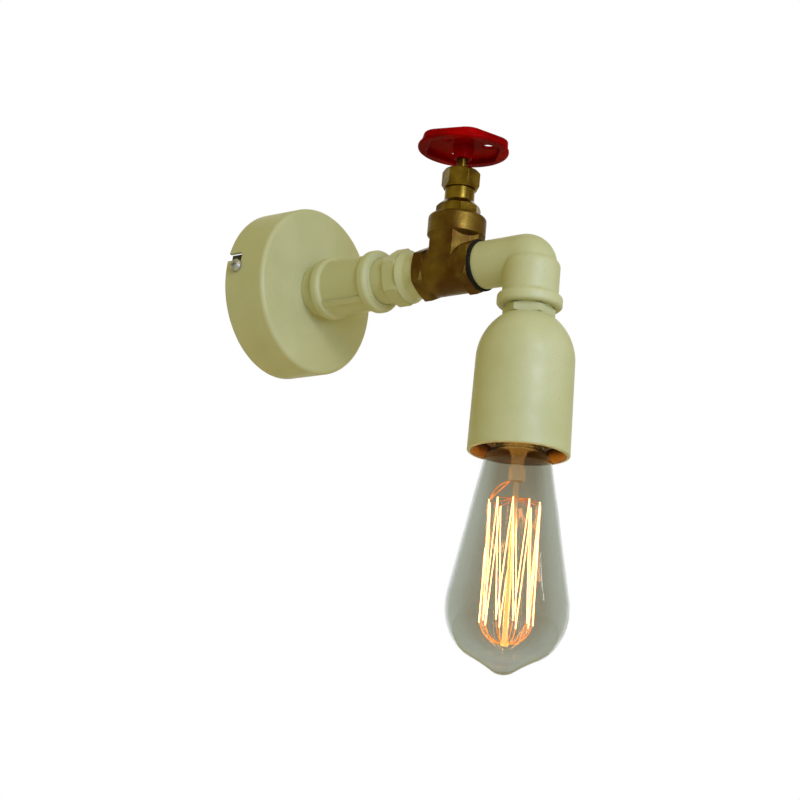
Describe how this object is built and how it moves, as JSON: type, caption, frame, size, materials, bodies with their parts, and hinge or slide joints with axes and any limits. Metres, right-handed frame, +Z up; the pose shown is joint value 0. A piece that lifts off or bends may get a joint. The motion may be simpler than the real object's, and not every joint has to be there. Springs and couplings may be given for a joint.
{
  "type": "industrial pipe wall light",
  "caption": "Wall light made of pipe fittings: round wall canopy, banded coupling, brass gate valve with a red handwheel, elbow, and a cup over a pear-shaped filament lamp.",
  "frame": {"origin": "centre of the canopy's back, on the wall plane", "axes": "the wall is the plane Y = 0 and the light stands out along -Y; +Z is up; +X is to the right for someone facing the wall"},
  "size_m": [0.102, 0.2105, 0.303],
  "materials": {
    "cream_paint": "matte powder coat",
    "brass": "darkened, satin",
    "steel": "zinc plated",
    "earth_brass": "bright",
    "red_paint": "gloss",
    "black_rubber": "matte",
    "packing": "graphite cord",
    "black_plastic": "matte",
    "ceramic": "glazed ceramic",
    "nickel": "nickel plated",
    "solder": "tinned",
    "black_glass": "opaque black glass",
    "clear_glass": "clear",
    "filament": "glowing",
    "white_plastic": "satin",
    "brown_wire": "satin",
    "blue_wire": "satin",
    "green_wire": "satin, green and yellow"
  },
  "bodies": {
    "wall_bracket": {"wall_bracket": "steel", "lock_screws": "steel", "bracket_earth_screw": "earth_brass"},
    "lamp_arm": {"canopy": "cream_paint", "canopy_nipple": "steel", "canopy_washer": "steel", "canopy_locknut": "steel", "terminal_block": "white_plastic", "terminal_clamps": "brass", "terminal_screws": "steel", "block_screw": "steel", "canopy_earth_screw": "earth_brass", "wire_live": "brown_wire", "wire_neutral": "blue_wire", "wire_earth": "green_wire", "coupling": "cream_paint", "hex_nipple": "cream_paint", "valve_body": "brass", "valve_bonnet": "brass", "gland_packing": "packing", "gland_nut": "brass", "valve_seal": "black_rubber", "elbow": "cream_paint", "cup_reducer": "cream_paint", "cup": "cream_paint", "cup_washer": "steel", "cup_locknut": "steel", "holder_tube": "steel", "holder_locknut": "steel", "holder_cap": "black_plastic", "holder_body": "black_plastic", "holder_insert": "ceramic", "holder_shell": "nickel", "holder_contact": "brass", "holder_side_contact": "brass", "holder_screws": "steel"},
    "handwheel": {"handwheel": "red_paint", "handwheel_washer": "steel", "handwheel_nut": "steel", "valve_stem": "brass"},
    "lamp_tip": {"lamp_contact": "solder"},
    "lamp": {"lamp_cap_insulator": "black_glass", "lamp_cap": "nickel", "lamp_glass": "clear_glass", "lamp_stem": "clear_glass", "lamp_filament": "filament", "lamp_hooks": "steel", "lamp_leads": "steel"}
  },
  "joints": [
    {"name": "canopy_twist", "type": "hinge", "parent": "wall_bracket", "child": "lamp_arm", "pos_m": [0, 0, 0], "axis": [0, -1, 0], "range_deg": [0, 7.5]},
    {"name": "handwheel_spin", "type": "hinge", "parent": "lamp_arm", "child": "handwheel", "pos_m": [0, -0.1254, 0], "axis": [0, 0, 1], "continuous": true},
    {"name": "lamp_out", "type": "slide", "parent": "lamp_arm", "child": "lamp_tip", "axis": [0, 0, -1], "range_m": [0, 0.0255]},
    {"name": "lamp_turn", "type": "hinge", "parent": "lamp_tip", "child": "lamp", "pos_m": [0, -0.1785, 0], "axis": [0, 0, -1], "range_deg": [0, 2520]}
  ],
  "couplings": [
    {"joint": "lamp_out", "follows": "lamp_turn", "m_per_rad": 0.00057757}
  ]
}
